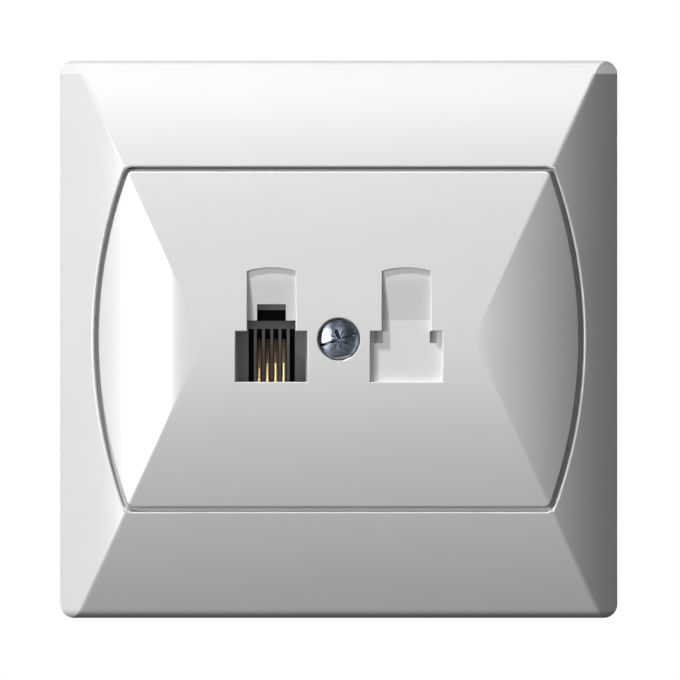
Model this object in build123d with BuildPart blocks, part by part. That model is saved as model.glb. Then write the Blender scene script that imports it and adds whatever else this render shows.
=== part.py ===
from build123d import *
import os
from math import cos, radians, sin, sqrt, tan

# A telephone wall socket for a 60 mm flush wall box, in millimetres.
# X points right, Z up and Y into the wall. The wall plane is Y = 0 and the origin is the middle
# of the plate on that plane. A height is measured from the wall into the room, a depth from the
# wall into the box behind it.

# Every cut runs past the face that it opens by this much
cut_past = 1.0

# Front: one crowned surface that the frame and the centre plate share
frame_width = 80.0
frame_corner_radius = 2.0
crown_height = 13.0
top_fall = 7.2
side_fall = 9.2
flat_half_width = 19.2
long_edge_radius = 1.7
side_edge_radius = 0.4

# Outer frame
frame_wall = 2.0
frame_roof = 2.2
aperture_side_border = 4.95
aperture_end_border = 15.32
aperture_side_radius = 70.0
aperture_corner_radius = 1.5
aperture_edge_radius = 0.27
ledge_width = 2.0
ledge_thickness = 1.5
aperture_wall = 1.5
frame_rib_thickness = 1.2
frame_rib_pitch = 24.0
rib_ring_gap = 1.0

# Centre plate
plate_gap = 0.6
plate_thickness = 1.8
plate_corner_radius = 1.0
plate_edge_radius = 0.35
plate_seat_clearance = 0.05
skirt_clearance = 0.3
skirt_wall = 1.2
skirt_foot_height = 5.5

# Port openings in the centre plate
port_offset = 9.66
port_width = 10.3
port_bottom = -6.1
port_shoulder = 1.15
channel_width = 6.9
channel_top = 9.7
channel_arch = 0.5
port_edge_radius = 0.15
ramp_top_drop = 0.8
ramp_foot_drop = 1.0
ramp_overrun = 2.0
port_wall = 0.9
tray_clearance = 0.05
blank_floor_thickness = 1.2
pocket_width = 1.8
pocket_height = 1.7
pocket_depth = 0.7

# Screw heads are rounded by this share of their height
head_rounding = 0.4

# Cover screw and its bush
cover_screw_head_diameter = 5.7
cover_screw_head_height = 1.9
cover_screw_length = 9.0
screw_recess_diameter = 6.1
screw_recess_depth = 2.6
boss_diameter = 9.0
boss_floor = 0.8
thread_diameter = 3.0
thread_clearance = 0.05
screw_hole_diameter = 3.4
slot_width = 0.8
slot_depth = 0.8
slot_angle = 17.7
cross_span = 2.9
cross_width = 0.55
cross_depth = 1.2
cross_taper = 8.0
bush_diameter = 4.2
bush_length = 6.0
bush_clearance = 0.02

# Jack housing
jack_width = 12.8
jack_back_depth = 5.4
jack_wall_below = 2.15
jack_wall_above = 0.84
jack_corner_radius = 0.4
cavity_clearance = 0.05
cavity_width = 9.8
latch_shoulder = 2.7
keyway_width = 4.12
keyway_top = 4.19
comb_height = 1.2
comb_depth = 2.6
comb_pitch = 1.18
comb_slot_width = 0.75
comb_slots = 6
jack_clearance = 0.1
peg_diameter = 1.6
peg_pitch = 6.4
guide_width = 6.4
guide_thickness = 1.2
guide_height = 7.0

# Contact wires
wire_count = 4
wire_diameter = 0.55
wire_slot_width = 0.7
wire_floor_gap = 0.75
wire_bend_radius = 0.7
wire_nose_reach = 0.8
wire_tip_height = 0.4
wire_tip_z = -0.1
wire_tail = 1.5

# Mechanism base
base_side_margin = 0.94
base_half_height = 20.5
base_wall = 1.5
base_floor = 2.0
flange_inset = 2.0
flange_reach = 5.5
flange_corner_radius = 3.0
pillar_diameter = 6.0
post_diameter = 5.0
post_inset = 4.45
rivet_reach = 3.5
rivet_diameter = 3.0
rivet_head_diameter = 5.0
rivet_head_height = 1.0
rivet_head_rounding = 0.6
rivet_bore_diameter = 1.5
rivet_flare_front = 4.4
rivet_flare_back = 4.8
rivet_flare_thickness = 0.5
rivet_clearance = 0.05

# Mounting ring
ring_inset = 4.5
ring_corner_radius = 4.0
ring_thickness = 1.0
ring_edge_clearance = 0.5
box_screw_pitch = 60.0
box_slot_width = 3.6
box_slot_length = 5.6
corner_hole_diameter = 4.0
corner_hole_pitch = 56.0

# Circuit board and terminals
board_inset = 0.5
board_corner_radius = 1.0
board_thickness = 1.6
board_screw_diameter = 2.5
board_screw_length = 6.0
board_screw_head_diameter = 4.6
board_screw_head_height = 1.5
pin_hole_clearance = 0.1
terminal_pitch = 6.0
terminal_count = 4
terminal_end_wall = 1.2
terminal_wall = 1.2
terminal_half_height = 5.5
terminal_depth = 10.0
terminal_floor = 1.5
terminal_head_diameter = 4.2
terminal_head_height = 1.8
terminal_screw_diameter = 2.5
terminal_screw_length = 3.2
clamp_clearance = 0.1
clamp_depth = 5.4
clamp_half_height = 2.6
clamp_pin_diameter = 1.0
wire_entry_diameter = 2.2

# Claws
pivot_reach = 2.5
pivot_depth = 2.5
pivot_pin_diameter = 2.0
pivot_clearance = 0.05
hub_radius = 2.2
claw_screw_reach = 5.0
claw_swing = 20.0
foot_back = 2.3
claw_reach = 8.9
claw_tail_depth = 20.0
claw_sheet = 1.0
claw_half_width = 4.9
claw_tooth_count = 4
claw_tooth_pitch = 1.5
claw_tooth_height = 0.9
ear_gap = 0.3
ear_thickness = 1.0
ear_half_width = 2.0
pin_head_diameter = 3.0
pin_head_height = 0.5
pin_fit_clearance = 0.01
claw_screw_length = 14.0
claw_screw_head_diameter = 5.5
claw_screw_head_height = 2.0
nut_diameter = 5.0
nut_clearance = 0.05
nut_end_gap = 0.2

# Values that follow from the sizes above
half_frame = frame_width / 2
aperture_half_width = half_frame - aperture_side_border
aperture_half_height = half_frame - aperture_end_border
ring_width = frame_width - 2 * ring_inset
jack_top = keyway_top + jack_wall_above
jack_bottom = port_bottom - jack_wall_below
recess_floor_height = crown_height - screw_recess_depth
boss_foot_height = recess_floor_height - boss_floor
ramp_top_height = crown_height - ramp_top_drop
ramp_foot_height = crown_height - ramp_foot_drop
tray_foot_height = recess_floor_height
jack_front_height = tray_foot_height - tray_clearance
jack_length = jack_front_height + jack_back_depth
jack_x = -port_offset
wire_nose_height = jack_front_height + wire_nose_reach
wire_z = port_bottom - cavity_clearance - wire_floor_gap - wire_diameter / 2
board_back_depth = jack_back_depth + board_thickness
base_half_width = port_offset + jack_width / 2 + base_side_margin
flange_half_width = base_half_width - flange_inset
flange_half_height = base_half_height + flange_reach
post_x = base_half_width - post_inset
post_z = base_half_height - post_inset
rivet_z = base_half_height + rivet_reach
board_width = 2 * (base_half_width - board_inset)
board_height = 2 * (base_half_height - board_inset)
pivot_x = base_half_width + pivot_reach
claw_screw_x = pivot_x + claw_screw_reach
thread_hole_diameter = thread_diameter + 2 * thread_clearance
ear_inner = claw_half_width + ear_gap
base_front_height = ring_thickness + base_floor
terminal_half_width = terminal_pitch * terminal_count / 2 + terminal_end_wall
terminal_back_depth = board_back_depth + terminal_depth
chamber_width = terminal_pitch - terminal_wall
nut_radius = nut_diameter / 2
nut_depth = pivot_depth + foot_back + nut_clearance + nut_radius
peg_places = [(jack_x - peg_pitch / 2, 0), (jack_x + peg_pitch / 2, 0)]
post_places = [(post_x, post_z), (-post_x, -post_z)]
rivet_places = [(0, rivet_z), (0, -rivet_z)]
wire_xs = [jack_x + comb_pitch * (i - (wire_count - 1) / 2) for i in range(wire_count)]
terminal_xs = [terminal_pitch * (i - (terminal_count - 1) / 2) for i in range(terminal_count)]

ABOVE = (Align.CENTER, Align.CENTER, Align.MIN)
BELOW = (Align.CENTER, Align.CENTER, Align.MAX)

os.makedirs("parts", exist_ok=True)


def at_height(height):
    """The plane parallel to the wall at a height in the room; extrusions go into the room."""
    return Plane.XZ.offset(height)


def facing_room(x, height, z):
    """A plane parallel to the wall with its origin at a point; its normal points into the room."""
    return Plane((x, -height, z), x_dir=(1, 0, 0), z_dir=(0, -1, 0))


def facing_box(x, depth, z):
    """A plane parallel to the wall with its origin at a point; its normal points into the box."""
    return Plane((x, depth, z), x_dir=(-1, 0, 0), z_dir=(0, 1, 0))


def end_height(x, z):
    """How high the front is over a point of the wall where it falls towards the top and bottom."""
    return crown_height - top_fall * (z / half_frame) ** 2


def side_height(x, z):
    """How high the front is over a point of the wall where it falls towards the sides."""
    run = max(abs(x) - flat_half_width, 0) / (half_frame - flat_half_width)
    return crown_height - side_fall * run**2


def end_crown(lowered, edge=0.0):
    """A block of the frame's width under the crown that falls to the top and bottom ends."""
    top = crown_height - lowered
    with BuildPart() as block:
        with BuildSketch(Plane.YZ.offset(-half_frame)):
            with BuildLine():
                Bezier(
                    (top_fall - top, -half_frame),
                    (-top_fall - top, 0),
                    (top_fall - top, half_frame),
                )
                Polyline(
                    (top_fall - top, half_frame),
                    (0, half_frame),
                    (0, -half_frame),
                    (top_fall - top, -half_frame),
                )
            make_face()
            if edge:
                fillet(vertices().group_by(Axis.X)[0], edge)
        extrude(amount=frame_width)
    return block.part


def side_crown(lowered, edge=0.0):
    """A block of the frame's width under the crown that falls to the left and right sides."""
    top = crown_height - lowered
    bend_x = (flat_half_width + half_frame) / 2
    with BuildPart() as block:
        with BuildSketch(Plane.XY.offset(-half_frame)):
            with BuildLine():
                Line((-flat_half_width, -top), (flat_half_width, -top))
                Bezier((flat_half_width, -top), (bend_x, -top), (half_frame, side_fall - top))
                Polyline(
                    (half_frame, side_fall - top),
                    (half_frame, 0),
                    (-half_frame, 0),
                    (-half_frame, side_fall - top),
                )
                Bezier((-half_frame, side_fall - top), (-bend_x, -top), (-flat_half_width, -top))
            make_face()
            if edge:
                ends = [v for v in vertices() if abs(v.Y - side_fall + top) < 0.001]
                fillet(ends, edge)
        extrude(amount=frame_width)
    return block.part


def crowned_block(lowered):
    """All between the wall and the crowned front, or a surface that lies lower than it."""
    return end_crown(lowered) & side_crown(lowered)


def front_rim(body, height_at, half_width, half_height):
    """The edges that upright walls have in common with the front, in a rectangle round the middle."""
    walls = body.faces().filter_by(lambda face: abs(face.normal_at().Y) < 0.001)
    rim = []
    for edge in walls.edges().filter_by(Axis.Y, reverse=True):
        x, y, z = edge @ 0.5
        inside = abs(x) < half_width + 0.001 and abs(z) < half_height + 0.001
        if inside and abs(height_at(x, z) + y) < 0.001:
            rim.append(edge)
    return rim


def rimmed(crown, height_at, outline, radius, mode):
    """A crown that is cut along an outline in the aperture, with the cut's front edge rounded."""
    with BuildPart() as cut:
        add(crown)
        with BuildSketch(at_height(0)):
            add(outline)
        extrude(amount=crown_height + cut_past, mode=mode)
        fillet(front_rim(cut, height_at, aperture_half_width, aperture_half_height), radius)
    return cut.part


def panel(inset, corner):
    """The outline of the aperture, drawn in by an inset: straight ends and bowed sides."""
    half_width = aperture_half_width - inset
    half_height = aperture_half_height - inset
    radius = aperture_side_radius - inset
    end_x = half_width - radius + sqrt(radius**2 - half_height**2)
    with BuildSketch() as outline:
        with BuildLine():
            Line((-end_x, half_height), (end_x, half_height))
            ThreePointArc((end_x, half_height), (half_width, 0), (end_x, -half_height))
            Line((end_x, -half_height), (-end_x, -half_height))
            ThreePointArc((-end_x, -half_height), (-half_width, 0), (-end_x, half_height))
        make_face()
        fillet(vertices(), corner)
    return outline.sketch


def port_outline():
    """The opening for a plug with its latch channel above, centred on X = 0."""
    with BuildSketch() as outline:
        with Locations((0, (port_shoulder + port_bottom) / 2)):
            Rectangle(port_width, port_shoulder - port_bottom)
        with BuildLine():
            Line((-channel_width / 2, channel_top), (-channel_width / 2, port_bottom))
            Line((-channel_width / 2, port_bottom), (channel_width / 2, port_bottom))
            Line((channel_width / 2, port_bottom), (channel_width / 2, channel_top))
            ThreePointArc(
                (channel_width / 2, channel_top),
                (0, channel_top + channel_arch),
                (-channel_width / 2, channel_top),
            )
        make_face()
    return outline.sketch


def port_recess(foot_height):
    """What a port takes out of the plate: its opening down to a foot, above the finger ramp."""
    slope = (ramp_top_height - ramp_foot_height) / (channel_top - latch_shoulder)
    past = channel_top + ramp_overrun
    past_height = ramp_foot_height + slope * (past - latch_shoulder)
    with BuildPart() as recess:
        with BuildSketch(at_height(foot_height)):
            add(port_outline())
        extrude(amount=crown_height + cut_past - foot_height)
        with BuildSketch(Plane.YZ):
            Polygon(
                (-ramp_foot_height, latch_shoulder),
                (-past_height, past),
                (cut_past, past),
                (cut_past, latch_shoulder),
                align=None,
            )
        extrude(amount=port_width, both=True, mode=Mode.SUBTRACT)
    return recess.part


def screw(seat, diameter, length, head_diameter, head_height, drive_width, drive_depth, turn=0.0):
    """A round-headed screw with a straight slot; its head stands on the seat plane."""
    with BuildPart(seat) as body:
        Cylinder(diameter / 2, length, align=BELOW)
        Cylinder(head_diameter / 2, head_height, align=ABOVE)
        top = body.faces().sort_by(Axis(seat.origin, seat.z_dir))[-1]
        fillet(top.edges(), head_height * head_rounding)
        with BuildSketch(seat.offset(head_height)):
            with Locations(Rotation(0, 0, turn)):
                Rectangle(head_diameter + cut_past, drive_width)
        extrude(amount=-drive_depth, mode=Mode.SUBTRACT)
    return body


def from_pivot(side, outward, deeper):
    """A point of the section across a claw, from its pivot; the side is -1 or 1."""
    return (side * (pivot_x + outward), pivot_depth + deeper)


def claw_front(outward):
    """Where a claw's front edge lies behind the pivot; it ends parallel to the ring."""
    return outward * tan(radians(claw_swing)) - hub_radius / cos(radians(claw_swing))


def export(node, name):
    """Labels a finished piece and writes it under its own name."""
    node.part.label = name
    export_step(node.part, f"parts/{name}.step")


# Outer frame: a hollow moulding with a ledge round the aperture that the plate's edge lies on.
# The crown's two halves get the aperture and its rounded edge one by one, before they meet.
aperture = panel(0.0, aperture_corner_radius)
frame_ends = end_crown(0.0, long_edge_radius)
frame_sides = side_crown(0.0, side_edge_radius)
ends_cut = rimmed(frame_ends, end_height, aperture, aperture_edge_radius, Mode.SUBTRACT)
sides_cut = rimmed(frame_sides, side_height, aperture, aperture_edge_radius, Mode.SUBTRACT)
frame_front = (frame_ends & frame_sides) - (frame_ends - ends_cut) - (frame_sides - sides_cut)
ledge_top = crowned_block(plate_thickness)
ledge_underside = crowned_block(plate_thickness + ledge_thickness)

with BuildPart() as aperture_surround:
    add(frame_front)
    add(ledge_top)
    with BuildSketch(at_height(0)):
        add(panel(-aperture_wall, aperture_corner_radius + aperture_wall))
    extrude(amount=crown_height + cut_past, mode=Mode.INTERSECT)
    add(ledge_underside, mode=Mode.SUBTRACT)

with BuildPart() as frame_cavity:
    with BuildSketch(at_height(0)):
        RectangleRounded(
            frame_width - 2 * frame_wall,
            frame_width - 2 * frame_wall,
            frame_corner_radius,
        )
    extrude(amount=crown_height)
    add(crowned_block(frame_roof), mode=Mode.INTERSECT)

with BuildPart() as frame_ribs:
    rib_start = ring_width / 2 + rib_ring_gap
    rib_length = half_frame - frame_wall / 2 - rib_start
    with BuildSketch(at_height(0)):
        for turn in (0, 90, 180, 270):
            with PolarLocations((rib_start + half_frame - frame_wall / 2) / 2, 1, turn):
                with Locations((0, -frame_rib_pitch), (0, 0), (0, frame_rib_pitch)):
                    Rectangle(rib_length, frame_rib_thickness)
    extrude(amount=crown_height)
    add(crowned_block(frame_roof / 2), mode=Mode.INTERSECT)

with BuildPart() as outer_frame:
    add(frame_front)
    with BuildSketch(at_height(0)):
        RectangleRounded(frame_width, frame_width, frame_corner_radius)
    extrude(amount=crown_height, mode=Mode.INTERSECT)
    add(frame_cavity.part, mode=Mode.SUBTRACT)
    add(frame_ribs.part)
    add(aperture_surround.part)
    with BuildSketch(at_height(0)):
        add(panel(plate_gap + ledge_width, aperture_corner_radius))
    extrude(amount=crown_height, mode=Mode.SUBTRACT)
export(outer_frame, "outer_frame")

# Centre plate: a thin crowned skin with a skirt, two port trays and a screw boss under it
with BuildPart() as plate_underside:
    with BuildSketch(at_height(skirt_foot_height)):
        add(panel(plate_gap + ledge_width + skirt_clearance, plate_corner_radius))
        add(
            panel(plate_gap + ledge_width + skirt_clearance + skirt_wall, plate_corner_radius),
            mode=Mode.SUBTRACT,
        )
    extrude(amount=crown_height - skirt_foot_height)
    tray_width = port_width + 2 * port_wall
    tray_top = channel_top + channel_arch + port_wall
    tray_bottom = port_bottom - port_wall
    with BuildSketch(at_height(tray_foot_height)):
        with Locations((-port_offset, (tray_top + tray_bottom) / 2)):
            Rectangle(tray_width, tray_top - tray_bottom)
    extrude(amount=crown_height - tray_foot_height)
    blank_foot_height = ramp_foot_height - blank_floor_thickness
    with BuildSketch(at_height(blank_foot_height)):
        with Locations((port_offset, (tray_top + tray_bottom) / 2)):
            Rectangle(tray_width, tray_top - tray_bottom)
    extrude(amount=crown_height - blank_foot_height)
    with BuildSketch(at_height(boss_foot_height)):
        Circle(boss_diameter / 2)
    extrude(amount=crown_height - boss_foot_height)
    with BuildSketch(at_height(skirt_foot_height)):
        with Locations((jack_x, (jack_top + jack_bottom) / 2)):
            Rectangle(jack_width + 2 * jack_clearance, jack_top - jack_bottom)
    extrude(amount=tray_foot_height - skirt_foot_height, mode=Mode.SUBTRACT)
    add(crowned_block(plate_thickness / 2), mode=Mode.INTERSECT)

plate_outline = panel(plate_gap, plate_corner_radius)
live_recess = Pos(-port_offset, 0, 0) * port_recess(skirt_foot_height)
blank_recess = Pos(port_offset, 0, 0) * port_recess(ramp_foot_height)
with BuildPart() as plate_ends:
    add(rimmed(end_crown(0.0), end_height, plate_outline, plate_edge_radius, Mode.INTERSECT))
    add(live_recess, mode=Mode.SUBTRACT)
    add(blank_recess, mode=Mode.SUBTRACT)
    fillet(front_rim(plate_ends, end_height, flat_half_width, tray_top), port_edge_radius)
plate_sides = rimmed(
    side_crown(0.0),
    side_height,
    plate_outline,
    plate_edge_radius,
    Mode.INTERSECT,
)

with BuildPart() as centre_plate:
    add(plate_ends)
    add(plate_sides, mode=Mode.INTERSECT)
    add(crowned_block(plate_thickness - plate_seat_clearance), mode=Mode.SUBTRACT)
    add(plate_underside.part)
    add(live_recess, mode=Mode.SUBTRACT)
    add(blank_recess, mode=Mode.SUBTRACT)
    with BuildSketch(at_height(tray_foot_height - cut_past)):
        with Locations((-port_offset, (latch_shoulder + jack_top) / 2)):
            Rectangle(keyway_width, jack_top - latch_shoulder)
    extrude(amount=ramp_top_height + cut_past - tray_foot_height, mode=Mode.SUBTRACT)
    with BuildSketch(at_height(ramp_foot_height - pocket_depth)):
        pocket_x = (port_width - pocket_width) / 2
        pocket_z = port_shoulder - pocket_height / 2
        with Locations((port_offset - pocket_x, pocket_z), (port_offset + pocket_x, pocket_z)):
            Rectangle(pocket_width, pocket_height)
    extrude(amount=pocket_depth, mode=Mode.SUBTRACT)
    with Locations(at_height(crown_height)):
        CounterBoreHole(
            screw_hole_diameter / 2,
            screw_recess_diameter / 2,
            screw_recess_depth,
            crown_height - boss_foot_height + cut_past,
        )
export(centre_plate, "centre_plate")

# Cover screw: a low round head with a straight slot and a cross in it
screw_seat = facing_room(0, recess_floor_height, 0)
slotted_screw = screw(
    screw_seat,
    thread_diameter,
    cover_screw_length,
    cover_screw_head_diameter,
    cover_screw_head_height,
    slot_width,
    slot_depth,
    slot_angle,
)
with BuildPart() as cover_screw:
    add(slotted_screw.part)
    with BuildSketch(screw_seat.offset(cover_screw_head_height)):
        with Locations(Rotation(0, 0, slot_angle), Rotation(0, 0, slot_angle + 90)):
            Rectangle(cross_span, cross_width)
    extrude(amount=-cross_depth, taper=cross_taper, mode=Mode.SUBTRACT)
export(cover_screw, "cover_screw")

# Screw bush: a threaded sleeve in the pillar of the base
with BuildPart(facing_room(0, boss_foot_height, 0)) as screw_bush:
    Cylinder(bush_diameter / 2, bush_length, align=BELOW)
    Hole(thread_hole_diameter / 2, bush_length)
export(screw_bush, "screw_bush")

# Jack housing: a block with the plug's cavity, a comb for the wires and slots in its floor
with BuildPart() as jack_housing:
    with BuildSketch(at_height(-jack_back_depth)):
        with Locations((jack_x, (jack_top + jack_bottom) / 2)):
            RectangleRounded(jack_width, jack_top - jack_bottom, jack_corner_radius)
    extrude(amount=jack_length)
    with BuildSketch(at_height(comb_height)):
        cavity_bottom = port_bottom - cavity_clearance
        with Locations((jack_x, (port_shoulder + cavity_bottom) / 2)):
            Rectangle(cavity_width, port_shoulder - cavity_bottom)
        with Locations((jack_x, (latch_shoulder + cavity_bottom) / 2)):
            Rectangle(channel_width, latch_shoulder - cavity_bottom)
        with Locations((jack_x, (keyway_top + cavity_bottom) / 2)):
            Rectangle(keyway_width, keyway_top - cavity_bottom)
    extrude(amount=jack_front_height - comb_height, mode=Mode.SUBTRACT)
    with BuildSketch(at_height(comb_height - comb_depth)):
        with Locations((jack_x, (port_shoulder + cavity_bottom) / 2)):
            with GridLocations(comb_pitch, 0, comb_slots, 1):
                Rectangle(comb_slot_width, port_shoulder - cavity_bottom)
    extrude(amount=comb_depth, mode=Mode.SUBTRACT)
    with BuildSketch(at_height(-jack_back_depth)):
        slot_bottom = wire_z - wire_slot_width / 2
        with Locations((jack_x, (cavity_bottom + slot_bottom) / 2)):
            with GridLocations(comb_pitch, 0, wire_count, 1):
                Rectangle(wire_slot_width, cavity_bottom - slot_bottom)
    extrude(amount=jack_length, mode=Mode.SUBTRACT)
    with BuildSketch(at_height(-board_back_depth)):
        with Locations(*peg_places):
            Circle(peg_diameter / 2)
    extrude(amount=board_thickness)
export(jack_housing, "jack_housing")

# Contact wires: from a tail behind the board, along the floor, round the nose and up to the comb
for number, wire_x in enumerate(wire_xs, 1):
    with BuildPart() as contact_wire:
        with BuildLine(Plane.YZ.offset(wire_x)) as route:
            FilletPolyline(
                (board_back_depth + wire_tail, wire_z),
                (-wire_nose_height, wire_z),
                (-wire_tip_height, wire_tip_z),
                radius=wire_bend_radius,
            )
        with BuildSketch(Plane(route.line @ 0, z_dir=route.line % 0)):
            Circle(wire_diameter / 2)
        sweep()
    export(contact_wire, f"contact_wire_{number}")

# Mechanism base: a tray open to the back, with a flange in front of the ring
with BuildPart() as mechanism_base:
    with BuildSketch(at_height(-jack_back_depth)):
        Rectangle(2 * base_half_width, 2 * base_half_height)
    extrude(amount=jack_back_depth + base_front_height)
    with BuildSketch(at_height(-jack_back_depth)):
        Rectangle(2 * (base_half_width - base_wall), 2 * (base_half_height - base_wall))
    extrude(amount=jack_back_depth + ring_thickness, mode=Mode.SUBTRACT)
    with BuildSketch(at_height(ring_thickness)):
        RectangleRounded(2 * flange_half_width, 2 * flange_half_height, flange_corner_radius)
    extrude(amount=base_floor)
    with BuildSketch(at_height(-jack_back_depth)):
        with Locations(*post_places):
            Circle(post_diameter / 2)
    extrude(amount=jack_back_depth + ring_thickness)
    with BuildSketch(at_height(ring_thickness)):
        Circle(pillar_diameter / 2)
    extrude(amount=boss_foot_height - ring_thickness)
    with BuildSketch(at_height(base_front_height)):
        guide_top = jack_top + jack_clearance + guide_thickness / 2
        guide_bottom = jack_bottom - jack_clearance - guide_thickness / 2
        with Locations((jack_x, guide_top), (jack_x, guide_bottom)):
            Rectangle(guide_width, guide_thickness)
    extrude(amount=guide_height - base_front_height)
    with BuildSketch(at_height(-jack_back_depth)):
        with Locations((jack_x, (jack_top + jack_bottom) / 2)):
            Rectangle(
                jack_width + 2 * jack_clearance,
                jack_top - jack_bottom + 2 * jack_clearance,
            )
    extrude(amount=jack_back_depth + base_front_height, mode=Mode.SUBTRACT)
    with Locations(facing_room(0, boss_foot_height, 0)):
        Hole(bush_diameter / 2 + bush_clearance, bush_length)
        Hole(screw_hole_diameter / 2, boss_foot_height)
    with BuildSketch(at_height(ring_thickness)):
        with Locations(*rivet_places):
            Circle(rivet_diameter / 2 + rivet_clearance)
    extrude(amount=base_floor, mode=Mode.SUBTRACT)
    with BuildSketch(at_height(-jack_back_depth)):
        with Locations(*post_places):
            Circle(board_screw_diameter / 2 + thread_clearance)
    extrude(amount=board_screw_length, mode=Mode.SUBTRACT)
export(mechanism_base, "mechanism_base")

# Rivets: tubular, from the flange through the ring
for name, (x, z) in zip(("base_rivet_top", "base_rivet_bottom"), rivet_places):
    with BuildPart(facing_room(x, base_front_height, z)) as base_rivet:
        Cylinder(rivet_diameter / 2, base_front_height, align=BELOW)
        Cylinder(rivet_head_diameter / 2, rivet_head_height, align=ABOVE)
        front = base_rivet.faces().sort_by(Axis.Y)[0]
        fillet(front.edges(), rivet_head_height * rivet_head_rounding)
        with Locations((0, 0, -base_front_height)):
            Cone(
                rivet_flare_back / 2,
                rivet_flare_front / 2,
                rivet_flare_thickness,
                align=BELOW,
            )
        Hole(rivet_bore_diameter / 2, base_front_height + 2 * rivet_head_height)
    export(base_rivet, name)

# Mounting ring: a pressed steel plate on the wall, with an ear either side of each claw
with BuildPart() as mounting_ring:
    with BuildSketch(at_height(0)):
        RectangleRounded(ring_width, ring_width, ring_corner_radius)
        Rectangle(
            2 * (base_half_width + ring_edge_clearance),
            2 * (base_half_height + ring_edge_clearance),
            mode=Mode.SUBTRACT,
        )
        Rectangle(2 * (pivot_x + ear_half_width), 2 * ear_inner, mode=Mode.SUBTRACT)
        with Locations((-claw_screw_x, 0), (claw_screw_x, 0)):
            Circle(screw_hole_diameter / 2, mode=Mode.SUBTRACT)
        with Locations(*rivet_places):
            Circle(rivet_diameter / 2 + rivet_clearance, mode=Mode.SUBTRACT)
        with Locations((-box_screw_pitch / 2, 0), (box_screw_pitch / 2, 0)):
            SlotOverall(box_slot_length, box_slot_width, mode=Mode.SUBTRACT)
        with Locations((0, -box_screw_pitch / 2), (0, box_screw_pitch / 2)):
            SlotOverall(box_slot_length, box_slot_width, rotation=90, mode=Mode.SUBTRACT)
        with GridLocations(corner_hole_pitch, corner_hole_pitch, 2, 2):
            Circle(corner_hole_diameter / 2, mode=Mode.SUBTRACT)
    extrude(amount=ring_thickness)
    for ear_z in (-ear_inner - ear_thickness, ear_inner):
        with BuildSketch(Plane.XY.offset(ear_z)):
            with Locations((-pivot_x, pivot_depth / 2), (pivot_x, pivot_depth / 2)):
                Rectangle(2 * ear_half_width, pivot_depth)
            with Locations((-pivot_x, pivot_depth), (pivot_x, pivot_depth)):
                Circle(ear_half_width)
                Circle(pivot_pin_diameter / 2 + pin_fit_clearance, mode=Mode.SUBTRACT)
        extrude(amount=ear_thickness)
export(mounting_ring, "mounting_ring")

# Circuit board: behind the jack, on the rim and posts of the base
with BuildPart() as circuit_board:
    with BuildSketch(at_height(-board_back_depth)):
        RectangleRounded(board_width, board_height, board_corner_radius)
        with Locations(*post_places):
            Circle(board_screw_diameter / 2 + pin_hole_clearance, mode=Mode.SUBTRACT)
        with Locations(*peg_places):
            Circle(peg_diameter / 2 + pin_hole_clearance, mode=Mode.SUBTRACT)
        with Locations(*[(x, wire_z) for x in wire_xs]):
            Circle(wire_diameter / 2 + pin_hole_clearance, mode=Mode.SUBTRACT)
        with Locations(*[(x, 0) for x in terminal_xs]):
            Circle(clamp_pin_diameter / 2 + pin_hole_clearance, mode=Mode.SUBTRACT)
    extrude(amount=board_thickness)
export(circuit_board, "circuit_board")

for number, (x, z) in enumerate(post_places, 1):
    board_screw = screw(
        facing_box(x, board_back_depth, z),
        board_screw_diameter,
        board_screw_length,
        board_screw_head_diameter,
        board_screw_head_height,
        slot_width,
        board_screw_head_height / 2,
    )
    export(board_screw, f"board_screw_{number}")

# Terminal block: a row of chambers open below for the line wires, screwed from the back
chamber_front_depth = board_back_depth + terminal_floor
chamber_length = clamp_depth + 2 * clamp_clearance
chamber_top = clamp_half_height + clamp_clearance
screw_seat_depth = terminal_back_depth - terminal_head_height
with BuildPart() as terminal_block:
    with BuildSketch(at_height(-terminal_back_depth)):
        Rectangle(2 * terminal_half_width, 2 * terminal_half_height)
    extrude(amount=terminal_depth)
    back_edges = terminal_block.faces().sort_by(Axis.Y)[-1].edges()
    chamfer(back_edges, terminal_end_wall / 2)
    for x in terminal_xs:
        with BuildSketch(at_height(-chamber_front_depth - chamber_length)):
            with Locations((x, (chamber_top - terminal_half_height) / 2)):
                Rectangle(chamber_width, chamber_top + terminal_half_height)
        extrude(amount=chamber_length, mode=Mode.SUBTRACT)
        with Locations(facing_box(x, terminal_back_depth, 0)):
            CounterBoreHole(
                terminal_screw_diameter / 2 + clamp_clearance,
                terminal_head_diameter / 2 + clamp_clearance,
                terminal_head_height,
                terminal_depth - terminal_floor,
            )
            Hole(clamp_pin_diameter / 2 + pin_hole_clearance, terminal_depth)
export(terminal_block, "terminal_block")

for number, x in enumerate(terminal_xs, 1):
    terminal_screw = screw(
        facing_box(x, screw_seat_depth, 0),
        terminal_screw_diameter,
        terminal_screw_length,
        terminal_head_diameter,
        terminal_head_height,
        slot_width,
        terminal_head_height / 2,
    )
    export(terminal_screw, f"terminal_screw_{number}")
    clamp_front_depth = chamber_front_depth + clamp_clearance
    with BuildPart(facing_box(x, clamp_front_depth, 0)) as terminal_clamp:
        Box(
            chamber_width - 2 * clamp_clearance,
            2 * clamp_half_height,
            clamp_depth,
            align=ABOVE,
        )
        Cylinder(
            clamp_pin_diameter / 2,
            clamp_front_depth - jack_back_depth - clamp_clearance,
            align=BELOW,
        )
        with Locations((0, 0, clamp_depth)):
            Hole(terminal_screw_diameter / 2 + thread_clearance, clamp_depth / 2)
        with Locations(Plane((x, clamp_front_depth + clamp_depth / 2, 0), z_dir=(0, 0, 1))):
            Cylinder(
                wire_entry_diameter / 2,
                2 * clamp_half_height + cut_past,
                mode=Mode.SUBTRACT,
            )
    export(terminal_clamp, f"terminal_clamp_{number}")

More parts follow.
